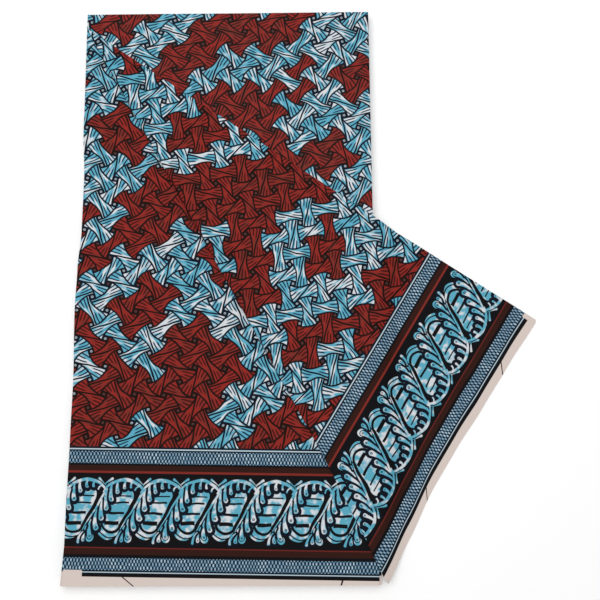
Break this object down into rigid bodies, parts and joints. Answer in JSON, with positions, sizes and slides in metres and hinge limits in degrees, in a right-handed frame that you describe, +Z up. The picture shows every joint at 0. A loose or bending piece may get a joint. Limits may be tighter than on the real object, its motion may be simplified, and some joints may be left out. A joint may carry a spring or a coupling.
{
  "type": "folded printed cotton cloth",
  "caption": "Folded length of wax-printed cotton cloth, basket-weave field and leaf borders, its top layer's corner turned back over the edge and lying on the table.",
  "frame": {"origin": "middle of the base of the whole part, on the table", "axes": "+Z up from the table, +Y from the selvedge edge of the pile to its long fold, +X towards the turned corner"},
  "size_m": [0.4664, 0.585, 0.0153],
  "materials": {
    "folded_edges": "matt cotton, the edges of many thin layers",
    "printed_face": "crisp plain-woven cotton with a low wax sheen, printed in red, black, white and sky blue",
    "printed_reverse": "wrong side of the same cotton, the print showing through nearly as strongly"
  },
  "bodies": {
    "root": {"folded_layers": "folded_edges", "lower_layer": "printed_face", "upper_layer": "printed_reverse", "turned_flap": "printed_face"}
  },
  "joints": []
}
